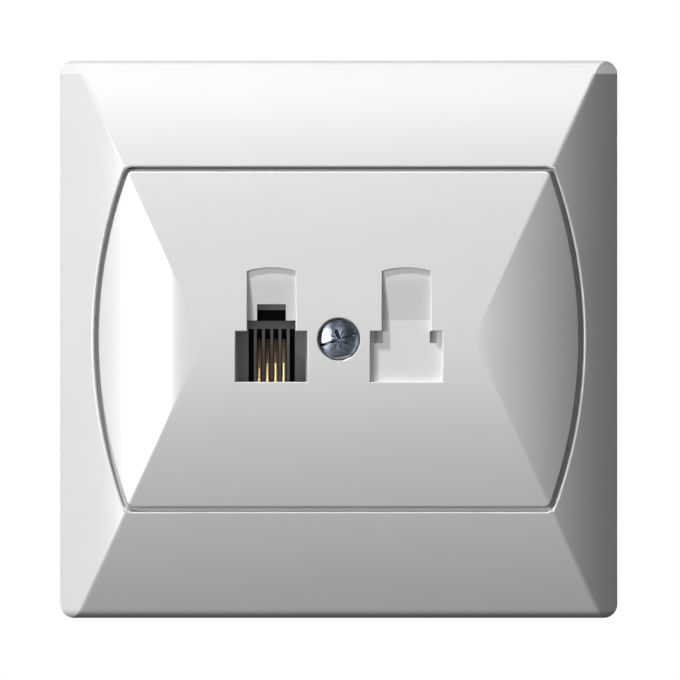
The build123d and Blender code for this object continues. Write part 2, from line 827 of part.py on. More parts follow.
# Claws: a folded sheet each, two cheeks on a pin and a toothed tail that swings into the box wall
tail_end = claw_tail_depth - pivot_depth
web_inner = claw_reach - claw_sheet
for name, side in (("left", -1), ("right", 1)):
    teeth = []
    for tooth in range(claw_tooth_count):
        root = tail_end - tooth * claw_tooth_pitch
        teeth.append(from_pivot(side, claw_reach + claw_tooth_height, root))
        teeth.append(from_pivot(side, claw_reach, root - claw_tooth_pitch))
    with BuildPart() as claw:
        for cheek_z in (-claw_half_width, claw_half_width - claw_sheet):
            with BuildSketch(Plane.XY.offset(cheek_z)):
                Polygon(
                    from_pivot(side, 0, foot_back),
                    from_pivot(side, claw_reach, foot_back),
                    from_pivot(side, claw_reach, claw_front(claw_reach)),
                    from_pivot(
                        side,
                        hub_radius * sin(radians(claw_swing)),
                        -hub_radius * cos(radians(claw_swing)),
                    ),
                    from_pivot(side, 0, 0),
                    align=None,
                )
                with Locations(from_pivot(side, 0, 0)):
                    Circle(hub_radius)
                    Circle(pivot_pin_diameter / 2 + pivot_clearance, mode=Mode.SUBTRACT)
            extrude(amount=claw_sheet)
        with BuildSketch(Plane.XY):
            Polygon(
                from_pivot(side, web_inner, claw_front(web_inner)),
                from_pivot(side, web_inner, tail_end),
                *teeth,
                from_pivot(side, claw_reach, claw_front(claw_reach)),
                align=None,
            )
        extrude(amount=claw_half_width, both=True)
    export(claw, f"claw_{name}")

    with BuildPart() as claw_pin:
        shank_length = 2 * (ear_inner + ear_thickness)
        with Locations((side * pivot_x, pivot_depth, 0)):
            Cylinder(pivot_pin_diameter / 2, shank_length)
        with Locations((side * pivot_x, pivot_depth, shank_length / 2)):
            Cylinder(pin_head_diameter / 2, pin_head_height, align=ABOVE)
        with Locations((side * pivot_x, pivot_depth, -shank_length / 2)):
            Cylinder(pin_head_diameter / 2, pin_head_height, align=BELOW)
    export(claw_pin, f"claw_pin_{name}")

    claw_screw = screw(
        facing_room(side * claw_screw_x, ring_thickness, 0),
        thread_diameter,
        claw_screw_length,
        claw_screw_head_diameter,
        claw_screw_head_height,
        slot_width,
        claw_screw_head_height / 2,
        90,
    )
    export(claw_screw, f"claw_screw_{name}")

    with BuildPart() as claw_nut:
        with Locations((side * claw_screw_x, nut_depth, 0)):
            Cylinder(nut_radius, 2 * (claw_half_width - nut_end_gap))
        with Locations(facing_box(side * claw_screw_x, nut_depth, 0)):
            Cylinder(thread_hole_diameter / 2, nut_diameter + cut_past, mode=Mode.SUBTRACT)
    export(claw_nut, f"claw_nut_{name}")
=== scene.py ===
from math import atan, copysign, cos, hypot, pi, radians, sin, sqrt

import bmesh
import bpy
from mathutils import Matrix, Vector


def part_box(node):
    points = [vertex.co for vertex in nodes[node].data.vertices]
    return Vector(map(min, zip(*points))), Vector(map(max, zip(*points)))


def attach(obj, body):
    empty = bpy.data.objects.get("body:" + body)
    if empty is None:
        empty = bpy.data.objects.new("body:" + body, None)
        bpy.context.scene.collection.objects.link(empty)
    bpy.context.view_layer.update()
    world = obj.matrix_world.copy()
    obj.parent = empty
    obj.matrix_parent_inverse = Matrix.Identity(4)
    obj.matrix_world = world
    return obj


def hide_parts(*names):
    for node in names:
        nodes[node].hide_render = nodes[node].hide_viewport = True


# A telephone wall socket, dressed for its picture: a finish for every piece, a crisp cover screw,
# threads, solder joints, soft lamps at the upper left and the camera straight in front.
# Lengths are in metres, x is to the right, -y towards the room and z up.
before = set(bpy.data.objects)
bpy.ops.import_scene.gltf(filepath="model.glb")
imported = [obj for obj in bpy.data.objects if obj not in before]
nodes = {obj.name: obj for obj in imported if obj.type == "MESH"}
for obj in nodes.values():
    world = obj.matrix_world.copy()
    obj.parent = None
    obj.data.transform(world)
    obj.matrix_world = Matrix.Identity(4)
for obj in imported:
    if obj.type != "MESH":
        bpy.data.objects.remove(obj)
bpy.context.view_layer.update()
MM = 0.001

# Crown that the outer frame and the centre plate share, as in the part's source: its height, its
# falls to the ends and to the sides, the flat strip between the side falls, and how close a point
# and its normal must be to count as lying on it
CROWN_HEIGHT = 13.0 * MM
TOP_FALL = 7.2 * MM
SIDE_FALL = 9.2 * MM
FLAT_HALF_WIDTH = 19.2 * MM
HALF_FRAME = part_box("outer_frame")[1].z
SIDE_RUN = HALF_FRAME - FLAT_HALF_WIDTH
ON_CROWN = 0.07 * MM
ALONG_CROWN = 0.985

# Hips, where the falls meet: how far aside they go for each metre up, how softly they turn at the
# middle, how much softer for each metre up, and where the side falls end at the top corners
HIP_SLOPE = 0.461
HIP_ROUNDING = 0.12 * MM
HIP_SPREAD = 0.012
CORNER_CUT = 38.1 * MM

# Rims: shade painted in bands at the frame's top and bottom, the aperture's bowed sides, which are
# arcs about points beyond the object's middle, and the bevels along them and round the screw's hole
TOP_RIM_SHADE = 0.9 * MM
BOTTOM_RIM_SHADE = 1.4 * MM
APERTURE_TOP = 24.68 * MM
ARC_RADIUS = 70.0 * MM
ARC_OFFSET = 34.95 * MM
SIDE_BEVEL_WIDTH = 0.3 * MM
SIDE_BEVEL_SLOPE = 0.5
HOLE_RADIUS = 3.05 * MM
HOLE_BEVEL_WIDTH = 0.13 * MM
HOLE_BEVEL_SLOPE = 0.8

# Shadow line in the gap above the plate: how far below the aperture's top its middle is, half its
# height, how far below the crown it starts and how far it reaches to each side
GAP_SHADE_DROP = 0.15 * MM
GAP_SHADE_HALF_HEIGHT = 0.17 * MM
GAP_SHADE_DEPTH = 0.6 * MM
GAP_SHADE_REACH = 30.5 * MM

# Ports, where shade is painted on the ramps and in the blank port's pockets: where they start and
# end to each side, the foot and the top of their ramps, and the pockets, whose floors stand this
# far out from the wall
PORT_START = 5 * MM
PORT_END = 14 * MM
RAMP_FOOT = 2.74 * MM
RAMP_TOP = 10.9 * MM
POCKET_FLOOR = 11.3 * MM
POCKET_TOP = 2.4 * MM

# Jack: its front face and middle, the step below its latch, above which shade is painted black deep
# in the keyway, and the height above which it is painted darker as shade, then the comb between the
# wires, whose slots are painted black as shade: how far it reaches in front of and behind the wall,
# its pitch and half width, half of a slot, and the mouths painted black as shade above the slots
JACK_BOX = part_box("jack_housing")
JACK_FRONT = -JACK_BOX[0].y
JACK_MIDDLE = (JACK_BOX[0].x + JACK_BOX[1].x) / 2
LATCH_SHOULDER = 2.7 * MM
SHADE_PAINT_ABOVE = 4.0 * MM
COMB_FRONT = 1.2 * MM
COMB_BACK = 1.6 * MM
COMB_PITCH = 1.18 * MM
COMB_HALF_WIDTH = 3 * COMB_PITCH
COMB_SLOT_HALF = 0.375 * MM
MOUTH_FOOT = 1.05 * MM
MOUTH_TOP = 1.5 * MM

# Contact wires: their size, the height below which they are painted as lit and above which as in
# shade, how much lower that painted shadow edge is on the first of them, and how far the first
# reaches beyond its own middle line
WIRE_DIAMETER = 0.55 * MM
LIT_PAINT_TOP = -3.4 * MM
FIRST_WIRE_SHADOW_DROP = 0.72 * MM
FIRST_WIRE_REACH = 0.5 * MM

# Circuit board: its weave, the tracks to the wires, the tracks across and up the board, and the
# tinned rings round the wires
WEAVE_PITCH = 0.45 * MM
WIRE_TRACK_HALF_WIDTH = 0.38 * MM
WIRE_TRACK_ENDS = (-7.4 * MM, -4 * MM)
TRACK_HALF_WIDTH = 0.4 * MM
CROSS_TRACKS = (-16.4 * MM, -14.9 * MM, 13.2 * MM, 14.7 * MM)
CROSS_TRACK_REACH = 9.5 * MM
UPRIGHT_TRACK = 11.5 * MM
UPRIGHT_TRACK_REACH = 16.8 * MM
TINNED_RADIUS = 0.52 * MM

# Cover screw: its head, slot and cross in the part's source, then the sharper rim and the narrower
# slot that the photograph shows
HEAD_TOP = -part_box("cover_screw")[0].y
HEAD_RADIUS = 2.85 * MM
HEAD_ROUNDING = 0.76 * MM
SLOT_TURN = radians(17.7)
SLOT_HALF_WIDTH = 0.4 * MM
CROSS_DEPTH = 1.2 * MM
RIM_ROUNDING = 0.1 * MM
SLOT_SHRINK = 0.55
SLOT_SHIFT = -0.06 * MM

# Marks on its head: how nearly its face points to the room, how much its slope grows per metre
# aside and up, the height of its summit, the ticks between the arms of the cross, the depths from
# which slot and cross are painted dark as shade, and a chord near the bottom, lighter beyond it
FACE_TO_ROOM = -0.97
DOME_ASIDE = 170.0
DOME_UP = DOME_ASIDE * 0.4
DOME_SUMMIT = 0.45 * MM
TICK_TURNS = (SLOT_TURN + pi / 4, SLOT_TURN + 3 * pi / 4)
TICK_START = 0.42 * MM
TICK_END = 1.38 * MM
LINE_HALF_WIDTH = 0.07 * MM
LINE_SOFTNESS = 0.03 * MM
SLOT_SHADE_DEPTH = 0.4 * MM
CROSS_SHADE_DEPTH = 0.95 * MM
CHORD_TURN = radians(8)
CHORD_DISTANCE = 2.33 * MM

# Claw screws: the thread's crest, pitch and length, where it starts before the screw's end, how
# far its ridge stands each way, the points of a turn, and the core within it
THREAD_RADIUS = 1.5 * MM
THREAD_PITCH = 0.5 * MM
THREAD_LENGTH = 11.4 * MM
THREAD_START = 11.6 * MM
RIDGE = 0.2 * MM
THREAD_POINTS = 26
CORE_SHARE = 0.82

# Solder joints: the radius of their foot and tip, their height, how much their flanks sink, and
# the corners round them and the rings of faces up their flanks
SOLDER_FOOT = 0.62 * MM
SOLDER_TIP = 0.34 * MM
SOLDER_HEIGHT = 0.75 * MM
SOLDER_SINK = 1.1
SOLDER_CORNERS = 28
SOLDER_RINGS = 5

# Meshes: how near the loose corners of a CAD node lie to each other, how near a point on a size
# may be to it, and the angle from which an edge is sharp
MERGED = 1e-7
NEAR = 1e-6
SHARP = radians(35)

# Photograph: its size in pixels, the scale of the frame's outline, where the object's middle is
# and how far the outline stands out from the wall
PHOTO_SIZE = 680
PHOTO_SCALE = 6.9625 / MM
PHOTO_MIDDLE = (338.9, 339.3)
OUTLINE_HEIGHT = 3.8 * MM
SENSOR_WIDTH = 36.0
FOCAL_LENGTH = 1000.0

# Studio: the light from all round, what polished pieces see of it, and the floor: its place and
# size, its colour and glow where it is seen, how much of them polished pieces see, and the darker
# colour that the object's light meets
AMBIENT = 0.02
MIRRORED_STUDIO = 0.1
FLOOR_Z = -2.6
FLOOR_SIZE = 36.0
FLOOR_SEEN = (0.9, 0.9, 0.9)
FLOOR_GLOW = (0.8, 0.8, 0.8)
FLOOR_MIRRORED = 0.25
FLOOR_UNSEEN = (0.12, 0.12, 0.12)

# Lamps by azimuth and elevation in degrees, distance, width and height in metres, power in watts
LAMPS = {
    "key_lamp": (-50.0, 60.0, 1.0, 0.07, 0.07, 9.8),
    "left_strip": (-38.0, 0.0, 1.0, 0.45, 0.14, 3.7),
    "far_left_strip": (-52.0, 0.0, 1.0, 0.3, 0.14, 0.4),
    "upper_panel": (0.0, 38.0, 1.0, 0.8, 0.16, 1.24),
    "front_panel": (0.0, 0.0, 1.2, 0.4, 0.4, 0.62),
    "back_left_lamp": (-150.0, 35.0, 1.0, 0.5, 0.5, 5.0),
    "back_right_lamp": (140.0, 10.0, 1.0, 0.5, 0.5, 3.5),
}


def placed(name, data):
    """Adds an object with this data to the scene."""
    thing = bpy.data.objects.new(name, data)
    bpy.context.scene.collection.objects.link(thing)
    return thing


class Signal:
    """One output socket, so that shader maths reads as plain expressions."""

    def __init__(self, tree, socket):
        self.tree = tree
        self.socket = socket

    def math(self, operation, *values):
        node = self.tree.nodes.new("ShaderNodeMath")
        node.operation = operation
        for socket, value in zip(node.inputs, values):
            plug(self.tree, socket, value)
        return Signal(self.tree, node.outputs[0])

    def __add__(self, other):
        return self.math("ADD", self, other)

    def __radd__(self, other):
        return self.math("ADD", other, self)

    def __sub__(self, other):
        return self.math("SUBTRACT", self, other)

    def __rsub__(self, other):
        return self.math("SUBTRACT", other, self)

    def __mul__(self, other):
        return self.math("MULTIPLY", self, other)

    def __rmul__(self, other):
        return self.math("MULTIPLY", other, self)

    def __truediv__(self, other):
        return self.math("DIVIDE", self, other)

    def __pow__(self, other):
        return self.math("POWER", self, other)

    def __abs__(self):
        return self.math("ABSOLUTE", self)

    def sign(self):
        return self.math("SIGN", self)

    def wave(self, pitch):
        """A sine over the value that repeats at a pitch."""
        angle = self * (2 * pi / pitch)
        return angle.math("SINE", angle)

    def above(self, edge, softness):
        """From 0 to 1 where the value passes an edge, over a softness to each side."""
        node = self.tree.nodes.new("ShaderNodeMapRange")
        node.interpolation_type = "SMOOTHSTEP"
        plug(self.tree, node.inputs["Value"], self)
        plug(self.tree, node.inputs["From Min"], edge - softness)
        plug(self.tree, node.inputs["From Max"], edge + softness)
        return Signal(self.tree, node.outputs["Result"])

    def below(self, edge, softness):
        return 1 - self.above(edge, softness)

    def within(self, low, high, softness):
        return self.above(low, softness) * self.below(high, softness)


def plug(tree, socket, value):
    """Links a signal to a socket, or sets the socket to a plain value."""
    if isinstance(value, Signal):
        tree.links.new(value.socket, socket)
    else:
        socket.default_value = value


def largest(first, *others):
    """The largest of some signals."""
    for other in others:
        first = first.math("MAXIMUM", first, other)
    return first


def reach(x, z):
    """How far a point is from the middle, from its two signals."""
    return (x * x + z * z) ** 0.5


def turned(x, z, angle):
    """A point's two coordinates on axes that are turned by an angle."""
    return x * cos(angle) + z * sin(angle), z * cos(angle) - x * sin(angle)


def opaque(colour):
    """A plain colour with its alpha; a signal stays as it is."""
    return (*colour, 1) if isinstance(colour, tuple) else colour


class Graph:
    """A node tree to which nodes are added by their type, settings and socket values."""

    def __init__(self, tree):
        self.tree = tree

    def node(self, kind, settings=None, numbered=None, **values):
        """Adds any node: its settings, then its sockets by number or name, with _ for a space."""
        made = self.tree.nodes.new(kind)
        for name, value in (settings or {}).items():
            setattr(made, name, value)
        for number, value in (numbered or {}).items():
            plug(self.tree, made.inputs[number], value)
        for name, value in values.items():
            plug(self.tree, made.inputs[name.replace("_", " ")], value)
        return {socket.name: Signal(self.tree, socket) for socket in made.outputs if socket.enabled}

    def split(self, vector):
        parts = self.node("ShaderNodeSeparateXYZ", Vector=vector)
        return parts["X"], parts["Y"], parts["Z"]

    def join(self, x, y, z):
        return self.node("ShaderNodeCombineXYZ", X=x, Y=y, Z=z)["Vector"]

    def normalized(self, vector):
        settings = {"operation": "NORMALIZE"}
        return self.node("ShaderNodeVectorMath", settings, Vector=vector)["Vector"]

    def dot(self, first, second):
        sockets = {0: first, 1: second}
        return self.node("ShaderNodeVectorMath", {"operation": "DOT_PRODUCT"}, sockets)["Value"]


class Growth(Graph):
    """A Geometry Nodes tree with named sizes, whose result is kept as a plain mesh."""

    def __init__(self, name, **sizes):
        super().__init__(bpy.data.node_groups.new(name, "GeometryNodeTree"))
        self.name = name
        self.sizes = sizes
        sockets = self.tree.interface
        for label in sizes:
            sockets.new_socket(label, in_out="INPUT", socket_type="NodeSocketFloat")
        sockets.new_socket("Geometry", in_out="OUTPUT", socket_type="NodeSocketGeometry")
        entry = self.node("NodeGroupInput")
        for label in sizes:
            setattr(self, label, entry[label])

    def harvest(self, geometry, material):
        """Realizes the geometry, paints it and returns the mesh that the tree makes."""
        real = self.node("GeometryNodeRealizeInstances", Geometry=geometry)["Geometry"]
        painted = self.node("GeometryNodeSetMaterial", Geometry=real, Material=material)["Geometry"]
        self.node("NodeGroupOutput", Geometry=painted)
        host = placed(self.name, bpy.data.meshes.new(self.name))
        growing = host.modifiers.new(self.name, "NODES")
        growing.node_group = self.tree
        for item in self.tree.interface.items_tree:
            if item.in_out == "INPUT":
                growing[item.identifier] = self.sizes[item.name]
        grown = host.evaluated_get(bpy.context.evaluated_depsgraph_get())
        mesh = bpy.data.meshes.new_from_object(grown)
        bpy.data.objects.remove(host)
        return mesh


class Finish(Graph):
    """A material that is built up node by node round one Principled shader."""

    def __init__(self, name):
        self.material = bpy.data.materials.new(name)
        self.material.use_nodes = True
        super().__init__(self.material.node_tree)
        self.shader = self.tree.nodes["Principled BSDF"]
        self.place = self.node("ShaderNodeTexCoord")["Object"]
        self.x, self.y, self.z = self.split(self.place)

    def noise(self, size, detail=2.0, stretch=(1, 1, 1)):
        """A cloudy pattern of lumps about one size across, stretched along an axis if asked."""
        vector = self.node("ShaderNodeMapping", Vector=self.place, Scale=stretch)["Vector"]
        pattern = self.node("ShaderNodeTexNoise", Vector=vector, Scale=1 / size, Detail=detail)
        return pattern["Fac"]

    def mix(self, share, first, second):
        """A colour between two, by a share."""
        sockets = {0: share, 6: opaque(first), 7: opaque(second)}
        return self.node("ShaderNodeMix", {"data_type": "RGBA"}, sockets)["Result"]

    def blend(self, share, first, second):
        """A vector between two, by a share."""
        sockets = {0: share, 4: first, 5: second}
        return self.node("ShaderNodeMix", {"data_type": "VECTOR"}, sockets)["Result"]

    def bump(self, height, depth, normal=None):
        """A relief of a height from 0 to 1, as deep as a depth in metres."""
        values = {"Height": height, "Distance": depth, "Strength": 1.0}
        if normal is not None:
            values["Normal"] = normal
        return self.node("ShaderNodeBump", **values)["Normal"]

    def set(self, **values):
        for name, value in values.items():
            plug(self.tree, self.shader.inputs[name.replace("_", " ")], opaque(value))
        return self.material


def aligned(finish, slope_x, slope_z):
    """A normal that faces the room, tilted by a slope to the side and up, in world space."""
    return finish.node(
        "ShaderNodeVectorTransform",
        {"vector_type": "NORMAL", "convert_from": "OBJECT", "convert_to": "WORLD"},
        Vector=finish.normalized(finish.join(slope_x, -1.0, slope_z)),
    )["Vector"]


def end_drop(finish):
    """How far the crown has fallen towards its top or bottom."""
    return TOP_FALL * (finish.z / HALF_FRAME) ** 2.0


def crown_normal(finish):
    """The exact normal of the crown, with its hips a little rounded, where a point lies on it."""
    aside, up = finish.x.sign(), abs(finish.z)
    out = abs(finish.x) - FLAT_HALF_WIDTH
    run = largest(out, 0.0) / SIDE_RUN
    side_drop = SIDE_FALL * run**2.0
    off_crown = abs(finish.y + CROWN_HEIGHT - largest(end_drop(finish), side_drop))
    side_slope = run * (2 * SIDE_FALL / SIDE_RUN) * aside
    end_slope = finish.z * (2 * TOP_FALL / HALF_FRAME**2)
    plain = finish.node("ShaderNodeNewGeometry")["Normal"]
    agrees = largest(
        finish.dot(plain, aligned(finish, side_slope, 0.0)),
        finish.dot(plain, aligned(finish, 0.0, end_slope)),
    )
    on_crown = off_crown.below(ON_CROWN, 0.03 * MM) * agrees.above(ALONG_CROWN, 0.008)
    beyond_hip = (out - up * HIP_SLOPE) * cos(atan(HIP_SLOPE))
    beyond_hip = (beyond_hip / (HIP_ROUNDING + up * HIP_SPREAD)).above(0.0, 1.0)
    side_share = beyond_hip * finish.z.below(CORNER_CUT, 0.15 * MM)
    exact = aligned(finish, side_slope * side_share, end_slope * (1 - side_share))
    from_arc = reach(abs(finish.x) + ARC_OFFSET, finish.z) - ARC_RADIUS
    beside = from_arc.above(0.0, 0.02 * MM) * from_arc.below(SIDE_BEVEL_WIDTH, 0.05 * MM)
    beside = beside * up.below(APERTURE_TOP, 0.05 * MM)
    bevelled = finish.blend(beside, exact, aligned(finish, aside * -SIDE_BEVEL_SLOPE, 0.0))
    return finish.blend(on_crown, plain, bevelled)


def hole_bevel(finish, normal):
    """The normal with a narrow bevel round the cover screw's hole."""
    radius = reach(finish.x, finish.z)
    edge = radius.below(HOLE_RADIUS + HOLE_BEVEL_WIDTH, 0.03 * MM)
    edge = edge * (finish.y + CROWN_HEIGHT).below(0.5 * MM, 0.1 * MM)
    inward_x = finish.x / radius * -HOLE_BEVEL_SLOPE
    inward_z = finish.z / radius * -HOLE_BEVEL_SLOPE
    return finish.blend(edge, normal, aligned(finish, inward_x, inward_z))


def painted_shade_places(finish, facing):
    """Where shade is painted: the ports' ramps, the blank port's pockets and the gap above the
    plate.
    """
    width, up = abs(finish.x), finish.z
    sunk = finish.y + CROWN_HEIGHT - end_drop(finish)
    ports = width.within(PORT_START, PORT_END, 0.01 * MM)
    ramp = sunk.above(0.5 * MM, 0.1 * MM) * up.above(RAMP_FOOT, 0.03 * MM)
    ramp = ports * ramp * up.below(RAMP_TOP, 0.1 * MM)
    pocket = abs(finish.y + POCKET_FLOOR).below(0.2 * MM, 0.05 * MM)
    pocket = ports * pocket * finish.x.above(0.0, 0.01 * MM)
    pocket = pocket * abs(up).below(POCKET_TOP, 0.01 * MM)
    gap = abs(up - APERTURE_TOP + GAP_SHADE_DROP).below(GAP_SHADE_HALF_HEIGHT, 0.02 * MM)
    gap = gap * facing.above(0.8, 0.05) * sunk.above(GAP_SHADE_DEPTH, 0.1 * MM)
    return ramp, pocket, gap * width.below(GAP_SHADE_REACH, 0.05 * MM)


def gloss_white():
    """White, highly polished plastic on the crown's exact curve, with painted shade in hollows and
    at rims.
    """
    finish = Finish("gloss_white_plastic")
    finish.shader.inputs["Specular IOR Level"].default_value = 0.9
    cloud = finish.noise(9 * MM, 2.0)
    grain = finish.noise(0.6 * MM, 2.0)
    facing = abs(finish.split(finish.node("ShaderNodeNewGeometry")["Normal"])[1])
    # Side walls: matt, and painted darker as shade; bands at the top and bottom rims: painted shade
    matt_shaded_side = facing.below(0.5, 0.3)
    under_rim_shade = ((0 - finish.z - (HALF_FRAME - BOTTOM_RIM_SHADE)) / BOTTOM_RIM_SHADE).above(0.55, 0.55)
    upper_rim_shade = ((finish.z - (HALF_FRAME - TOP_RIM_SHADE)) / TOP_RIM_SHADE).above(0.6, 0.4)
    ramp, pocket, gap = painted_shade_places(finish, facing)
    colour = finish.mix(cloud, (0.80, 0.80, 0.795), (0.83, 0.83, 0.825))
    # Painted shade: ramps, pockets, a shadow line in the gap, side walls and the two rims
    for share, tone in (
        (ramp, (0.69, 0.69, 0.68)),
        (pocket, (0.42, 0.42, 0.415)),
        (gap, (0.2, 0.2, 0.2)),
        (matt_shaded_side, (0.64, 0.64, 0.635)),
        (upper_rim_shade * 0.6, (0.45, 0.45, 0.45)),
        (under_rim_shade * facing.above(0.2, 0.2), (0.2, 0.2, 0.2)),
    ):
        colour = finish.mix(share, colour, tone)
    return finish.set(
        Base_Color=colour,
        Roughness=0.22 + grain * 0.05 + matt_shaded_side * 0.2,
        Normal=finish.bump(grain, 0.0012 * MM, hole_bevel(finish, crown_normal(finish))),
    )


def simple_plastic(name, dark, light, roughness):
    """A moulded plastic with a fine sparkle of spark-eroded texture."""
    finish = Finish(name)
    grain = finish.noise(0.4 * MM, 3.0)
    cloud = finish.noise(6 * MM, 2.0)
    return finish.set(
        Base_Color=finish.mix(cloud, dark, light),
        Roughness=roughness + grain * 0.12,
        Normal=finish.bump(grain, 0.004 * MM),
    )


def plated(name, dark, light, roughness, stretch=(1, 1, 1)):
    """A plated or turned metal, with a faint cloud in its colour and fine lines along one axis."""
    finish = Finish(name)
    cloud = finish.noise(2.5 * MM, 3.0)
    lines = finish.noise(0.3 * MM, 3.0, stretch)
    return finish.set(
        Base_Color=finish.mix(cloud, dark, light),
        Metallic=1.0,
        Roughness=roughness + lines * 0.14,
        Normal=finish.bump(lines, 0.002 * MM),
    )


def blue_zinc_head():
    """The cover screw: bluish zinc on a slightly domed head, with four fine ticks by the cross and
    shade painted dark in its slot and cross.
    """
    finish = Finish("blue_zinc_screw_head")
    x, z = finish.x, finish.z
    radius = reach(x, z)
    along, across = turned(x, z, SLOT_TURN)
    depth = finish.y + HEAD_TOP
    surface = finish.node("ShaderNodeNewGeometry")
    on_face = finish.split(surface["True Normal"])[1].below(FACE_TO_ROOM, 0.02)
    dome = aligned(finish, x * DOME_ASIDE, (z - DOME_SUMMIT) * DOME_UP)
    domed = finish.blend(on_face, surface["Normal"], dome)
    ticks = largest(*(
        abs(turned(x, z, turn)[1]).below(LINE_HALF_WIDTH, LINE_SOFTNESS) for turn in TICK_TURNS
    ))
    ticks = ticks * radius.within(TICK_START, TICK_END, 0.05 * MM) * on_face
    # Painted shade: a shadow under the slot's upper wall, the slot's left half and the deep cross
    in_slot = depth.above(SLOT_SHADE_DEPTH, 0.1 * MM)
    slot_shadow_line = in_slot * across.above(0.03 * MM, 0.03 * MM)
    slot_left_shade = in_slot * along.below(-0.2 * MM, 0.3 * MM)
    cross_shade = depth.above(CROSS_SHADE_DEPTH, 0.05 * MM)
    # A chord line near the bottom, with the colour lighter beyond it
    chord = turned(along, across, -CHORD_TURN)[1] + CHORD_DISTANCE
    chord_line = abs(chord).below(LINE_HALF_WIDTH, LINE_SOFTNESS) * on_face
    lighter_past_chord = chord.below(-LINE_HALF_WIDTH, 0.02 * MM) * on_face
    cloud = finish.noise(1.3 * MM, 2.0)
    streaks = finish.noise(0.9 * MM, 3.0, (1, 1, 3.5))
    zinc_tone = finish.mix(streaks.above(0.5, 0.2), (0.24, 0.29, 0.37), (0.44, 0.49, 0.57))
    zinc_with_crescent = finish.mix(lighter_past_chord * 0.8, zinc_tone, (0.70, 0.68, 0.73))
    shade_and_marks = largest(slot_shadow_line, slot_left_shade * 0.85, cross_shade * 0.55, ticks, chord_line * 0.9)
    return finish.set(
        Base_Color=finish.mix(shade_and_marks, zinc_with_crescent, (0.035, 0.045, 0.06)),
        Metallic=1.0,
        Roughness=0.18 + cloud * 0.1,
        Normal=finish.bump(cloud * 0.6 + streaks * 0.2, 0.02 * MM, domed),
    )


def jack_plastic():
    """Dark glossy plastic with shade painted black down the keyway and in the comb's slots, and
    darker high up.
    """
    finish = Finish("dark_jack_plastic")
    finish.shader.inputs["Specular IOR Level"].default_value = 1.0
    y, z = finish.y, finish.z
    grain = finish.noise(0.4 * MM, 3.0)
    cloud = finish.noise(6 * MM, 2.0)
    # Painted shade: black down the keyway, in the comb's slots and their mouths, darker above a
    # height
    keyway = (y + JACK_FRONT).above(0.5 * MM, 0.3 * MM)
    keyway = keyway * z.above(LATCH_SHOULDER - 0.05 * MM, 0.04 * MM)
    slots = (y + COMB_FRONT).above(0.2 * MM, 0.15 * MM) * y.below(COMB_BACK, 0.1 * MM)
    aside = finish.x - JACK_MIDDLE
    cell = aside / COMB_PITCH
    lane = abs(cell.math("FRACT", cell) - 0.5).below(COMB_SLOT_HALF / COMB_PITCH, 0.02)
    mouths = lane * z.within(MOUTH_FOOT, MOUTH_TOP, 0.02 * MM)
    mouths = mouths * abs(aside).below(COMB_HALF_WIDTH, 0.01 * MM)
    hollow = largest(keyway, slots, mouths)
    tinted = finish.mix(cloud, (0.225, 0.225, 0.228), (0.265, 0.265, 0.268))
    skin = finish.mix(z.above(SHADE_PAINT_ABOVE, 0.05 * MM), tinted, (0.07, 0.07, 0.07))
    return finish.set(
        Base_Color=finish.mix(hollow, skin, (0.004, 0.004, 0.004)),
        Roughness=0.27 + grain * 0.08 + hollow * 0.6,
        Normal=finish.bump(grain, 0.003 * MM),
    )


def contact_gold():
    """Gold-plated wire, painted as lit with an upright normal low at its front, and painted as in
    shade where it slopes into the jack.
    """
    finish = Finish("gold_plated_wire")
    side, front, up = finish.split(finish.node("ShaderNodeNewGeometry")["Normal"])
    # Painted light and shade: lit below a shadow edge, which is lower on the first wire, shaded
    # above
    first_wire = finish.x.below(wire_lanes[0] + FIRST_WIRE_REACH, 0.01 * MM)
    lit_nose = (finish.z + first_wire * FIRST_WIRE_SHADOW_DROP).below(LIT_PAINT_TOP, 0.04 * MM)
    cloud = finish.noise(0.8 * MM, 2.0)
    shaded_gold = finish.mix(cloud, (0.82, 0.50, 0.26), (0.92, 0.58, 0.31))
    lit_gold = finish.mix(cloud, (0.98, 0.69, 0.37), (1.0, 0.74, 0.42))
    return finish.set(
        Base_Color=finish.mix(lit_nose, shaded_gold, lit_gold),
        Metallic=0.25 + lit_nose * 0.65,
        Roughness=0.42 - lit_nose * 0.08,
        Normal=finish.normalized(finish.join(side, front, up * (1 - lit_nose))),
    )


def lacquered_board():
    """Green laminate: copper tracks that show through the lacquer, tinned rings at the wires."""
    finish = Finish("green_board_laminate")
    x, z = finish.x, finish.z
    upright = abs(x - UPRIGHT_TRACK).below(TRACK_HALF_WIDTH, 0.03 * MM)
    tracks = [upright * abs(z).below(UPRIGHT_TRACK_REACH, 0.05 * MM)]
    for lane in wire_lanes:
        track = abs(x - lane).below(WIRE_TRACK_HALF_WIDTH, 0.03 * MM)
        tracks.append(track * z.within(*WIRE_TRACK_ENDS, 0.1 * MM))
    for height in CROSS_TRACKS:
        track = abs(z - height).below(TRACK_HALF_WIDTH, 0.03 * MM)
        tracks.append(track * abs(x).below(CROSS_TRACK_REACH, 0.05 * MM))
    copper = largest(*tracks)
    tinned = largest(*(
        reach(x - lane, z - wire_row).below(TINNED_RADIUS, 0.03 * MM) for lane in wire_lanes
    ))
    weave = x.wave(WEAVE_PITCH) * z.wave(WEAVE_PITCH) * 0.5 + 0.5
    lacquer = finish.mix(copper, (0.012, 0.085, 0.034), (0.028, 0.165, 0.062))
    toned = finish.mix(weave * 0.22, lacquer, (0.03, 0.14, 0.06))
    return finish.set(
        Base_Color=finish.mix(tinned, toned, (0.62, 0.62, 0.60)),
        Metallic=tinned,
        Roughness=0.24 + weave * 0.05,
        Normal=finish.bump(copper + weave * 0.06, 0.03 * MM),
    )


